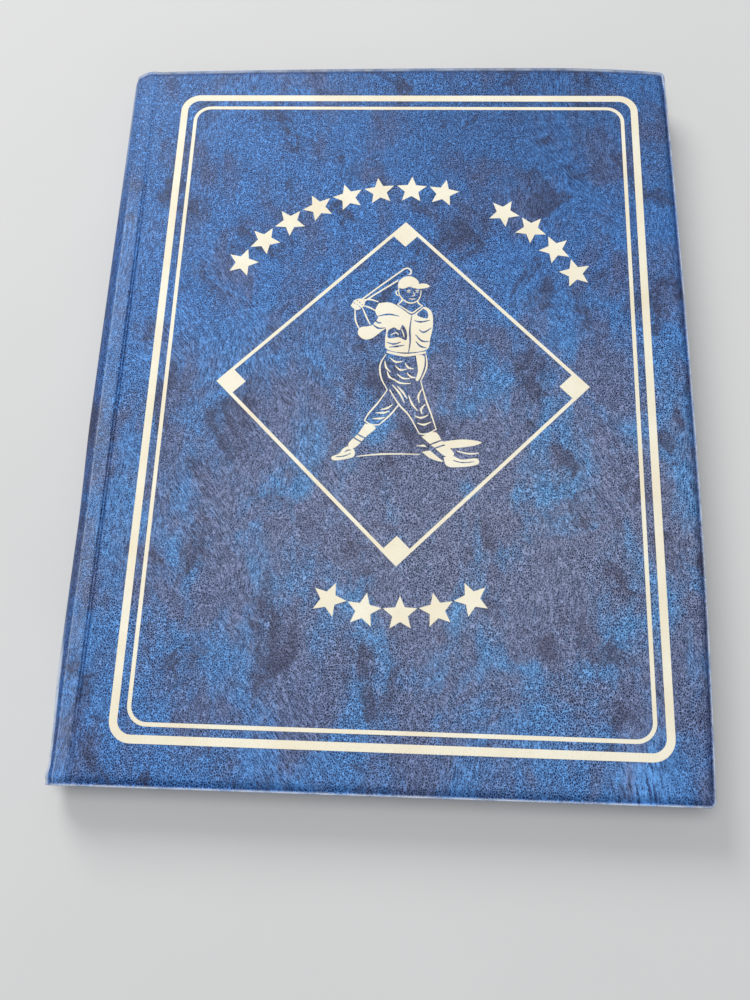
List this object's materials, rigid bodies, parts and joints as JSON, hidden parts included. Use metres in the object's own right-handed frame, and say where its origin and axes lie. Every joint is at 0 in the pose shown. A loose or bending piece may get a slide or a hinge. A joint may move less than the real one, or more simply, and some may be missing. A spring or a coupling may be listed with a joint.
{
  "type": "trading card album",
  "caption": "Slim padded-look vinyl album that opens like a book, with ten bound clear leaves of card pockets and a foil-stamped front.",
  "frame": {"origin": "under the middle of the closed album, on the surface it lies on", "axes": "+X from the spine to the fore edge, +Y up the front cover, +Z out of the front cover"},
  "size_m": [0.2374, 0.3048, 0.0156],
  "materials": {
    "cover_vinyl": "glossy leatherette grain, mottled bright and dark blue",
    "liner_vinyl": "smooth satin navy vinyl",
    "weld": "pressed glossy vinyl seam",
    "chipboard": "raw grey-brown board",
    "binding": "dark woven tape",
    "clear_film": "clear soft vinyl film",
    "film_seam": "frosted heat-sealed seam",
    "foil": "cream hot-stamped foil with a little of the grain showing"
  },
  "bodies": {
    "back_cover": {"back_cover_vinyl": "cover_vinyl", "back_board": "chipboard", "back_liner": "liner_vinyl", "back_edge_seam": "weld", "back_hinge_seam": "weld", "spine_wrap_back": "cover_vinyl"},
    "spine": {"spine_wrap_middle": "cover_vinyl", "spine_strip": "chipboard", "binding_tape": "binding", "leaf_stubs": "clear_film", "stub_spacers": "film_seam"},
    "front_cover": {"front_cover_vinyl": "cover_vinyl", "front_board": "chipboard", "front_liner": "liner_vinyl", "front_edge_seam": "weld", "front_hinge_seam": "weld", "spine_wrap_front": "cover_vinyl", "foil_border_thick": "foil", "foil_border_thin": "foil", "foil_diamond": "foil", "foil_bases": "foil", "foil_stars_upper": "foil", "foil_stars_lower": "foil", "foil_batter": "foil"},
    "leaf_1": {"leaf_1_backing": "clear_film", "leaf_1_pockets": "clear_film", "leaf_1_seams": "film_seam"},
    "leaf_2": {"leaf_2_backing": "clear_film", "leaf_2_pockets": "clear_film", "leaf_2_seams": "film_seam"},
    "leaf_3": {"leaf_3_backing": "clear_film", "leaf_3_pockets": "clear_film", "leaf_3_seams": "film_seam"},
    "leaf_4": {"leaf_4_backing": "clear_film", "leaf_4_pockets": "clear_film", "leaf_4_seams": "film_seam"},
    "leaf_5": {"leaf_5_backing": "clear_film", "leaf_5_pockets": "clear_film", "leaf_5_seams": "film_seam"},
    "leaf_6": {"leaf_6_backing": "clear_film", "leaf_6_pockets": "clear_film", "leaf_6_seams": "film_seam"},
    "leaf_7": {"leaf_7_backing": "clear_film", "leaf_7_pockets": "clear_film", "leaf_7_seams": "film_seam"},
    "leaf_8": {"leaf_8_backing": "clear_film", "leaf_8_pockets": "clear_film", "leaf_8_seams": "film_seam"},
    "leaf_9": {"leaf_9_backing": "clear_film", "leaf_9_pockets": "clear_film", "leaf_9_seams": "film_seam"},
    "leaf_10": {"leaf_10_backing": "clear_film", "leaf_10_pockets": "clear_film", "leaf_10_seams": "film_seam"}
  },
  "joints": [
    {"name": "spine_fold", "type": "hinge", "parent": "back_cover", "child": "spine", "pos_m": [-0.11672, 0, 0.00203], "axis": [0, -1, 0], "range_deg": [0, 90]},
    {"name": "front_cover_fold", "type": "hinge", "parent": "spine", "child": "front_cover", "pos_m": [-0.11672, 0, 0.01347], "axis": [0, -1, 0], "range_deg": [0, 90]},
    {"name": "leaf_1_turn", "type": "hinge", "parent": "spine", "child": "leaf_1", "pos_m": [-0.11175, 0, 0.00248], "axis": [0, -1, 0], "range_deg": [-70, 0]},
    {"name": "leaf_2_turn", "type": "hinge", "parent": "spine", "child": "leaf_2", "pos_m": [-0.11175, 0, 0.00356], "axis": [0, -1, 0], "range_deg": [-56, 0]},
    {"name": "leaf_3_turn", "type": "hinge", "parent": "spine", "child": "leaf_3", "pos_m": [-0.11175, 0, 0.00464], "axis": [0, -1, 0], "range_deg": [-42, 0]},
    {"name": "leaf_4_turn", "type": "hinge", "parent": "spine", "child": "leaf_4", "pos_m": [-0.11175, 0, 0.00571], "axis": [0, -1, 0], "range_deg": [-28, 0]},
    {"name": "leaf_5_turn", "type": "hinge", "parent": "spine", "child": "leaf_5", "pos_m": [-0.11175, 0, 0.00679], "axis": [0, -1, 0], "range_deg": [-14, 0]},
    {"name": "leaf_6_turn", "type": "hinge", "parent": "spine", "child": "leaf_6", "pos_m": [-0.11175, 0, 0.00788], "axis": [0, -1, 0], "range_deg": [0, 14]},
    {"name": "leaf_7_turn", "type": "hinge", "parent": "spine", "child": "leaf_7", "pos_m": [-0.11175, 0, 0.00895], "axis": [0, -1, 0], "range_deg": [0, 28]},
    {"name": "leaf_8_turn", "type": "hinge", "parent": "spine", "child": "leaf_8", "pos_m": [-0.11175, 0, 0.01004], "axis": [0, -1, 0], "range_deg": [0, 42]},
    {"name": "leaf_9_turn", "type": "hinge", "parent": "spine", "child": "leaf_9", "pos_m": [-0.11175, 0, 0.01111], "axis": [0, -1, 0], "range_deg": [0, 56]},
    {"name": "leaf_10_turn", "type": "hinge", "parent": "spine", "child": "leaf_10", "pos_m": [-0.11175, 0, 0.01219], "axis": [0, -1, 0], "range_deg": [0, 70]}
  ],
  "couplings": [
    {"joint": "leaf_1_turn", "follows": "spine_fold", "ratio": -0.7777},
    {"joint": "leaf_2_turn", "follows": "spine_fold", "ratio": -0.6222},
    {"joint": "leaf_3_turn", "follows": "spine_fold", "ratio": -0.4666},
    {"joint": "leaf_4_turn", "follows": "spine_fold", "ratio": -0.3111},
    {"joint": "leaf_5_turn", "follows": "spine_fold", "ratio": -0.1555},
    {"joint": "leaf_6_turn", "follows": "front_cover_fold", "ratio": 0.1555},
    {"joint": "leaf_7_turn", "follows": "front_cover_fold", "ratio": 0.3111},
    {"joint": "leaf_8_turn", "follows": "front_cover_fold", "ratio": 0.4666},
    {"joint": "leaf_9_turn", "follows": "front_cover_fold", "ratio": 0.6222},
    {"joint": "leaf_10_turn", "follows": "front_cover_fold", "ratio": 0.7777}
  ]
}
